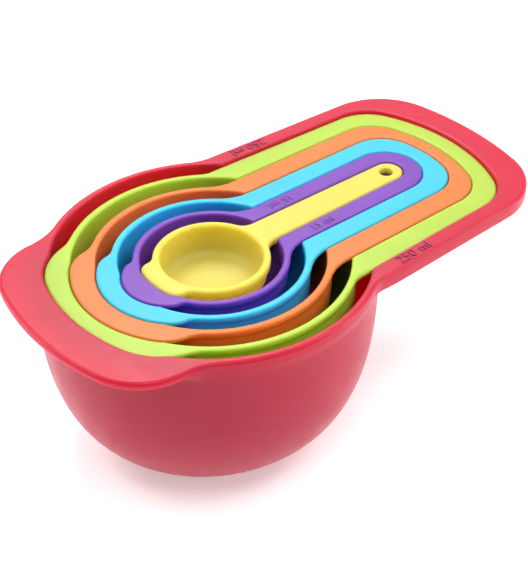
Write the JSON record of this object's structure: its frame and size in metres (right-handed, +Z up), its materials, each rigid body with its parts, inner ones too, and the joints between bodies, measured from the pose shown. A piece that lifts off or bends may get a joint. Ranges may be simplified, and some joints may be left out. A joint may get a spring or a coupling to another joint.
{
  "type": "nesting measuring cup set",
  "caption": "Nesting measuring cups and scoops with round bowls, pouring lips and flat stepped handles that stack flush.",
  "frame": {"origin": "centre of the flat foot under the largest bowl", "axes": "+X along the handles away from the bowls, +Z up out of the bowls, +Y across; the pouring lips are on -X"},
  "size_m": [0.156, 0.0918, 0.057],
  "materials": {
    "red_plastic": "satin moulded polypropylene, cherry red",
    "green_plastic": "satin moulded polypropylene, lime green",
    "orange_plastic": "satin moulded polypropylene, light orange",
    "blue_plastic": "satin moulded polypropylene, sky blue",
    "purple_plastic": "satin moulded polypropylene, violet",
    "yellow_plastic": "satin moulded polypropylene, butter yellow"
  },
  "bodies": {
    "red_cup": {"red_cup_250ml": "red_plastic"},
    "green_cup": {"green_cup_125ml": "green_plastic"},
    "orange_cup": {"orange_cup_85ml": "orange_plastic"},
    "blue_cup": {"blue_cup_60ml": "blue_plastic"},
    "purple_scoop": {"purple_scoop_15ml": "purple_plastic"},
    "yellow_scoop": {"yellow_scoop_5ml": "yellow_plastic"}
  },
  "joints": [
    {"name": "green_lift", "type": "slide", "parent": "red_cup", "child": "green_cup", "axis": [0, 0, 1], "range_m": [0, 0.045]},
    {"name": "orange_lift", "type": "slide", "parent": "green_cup", "child": "orange_cup", "axis": [0, 0, 1], "range_m": [0, 0.041]},
    {"name": "blue_lift", "type": "slide", "parent": "orange_cup", "child": "blue_cup", "axis": [0, 0, 1], "range_m": [0, 0.038]},
    {"name": "purple_lift", "type": "slide", "parent": "blue_cup", "child": "purple_scoop", "axis": [0, 0, 1], "range_m": [0, 0.02]},
    {"name": "yellow_lift", "type": "slide", "parent": "purple_scoop", "child": "yellow_scoop", "axis": [0, 0, 1], "range_m": [0, 0.015]}
  ]
}
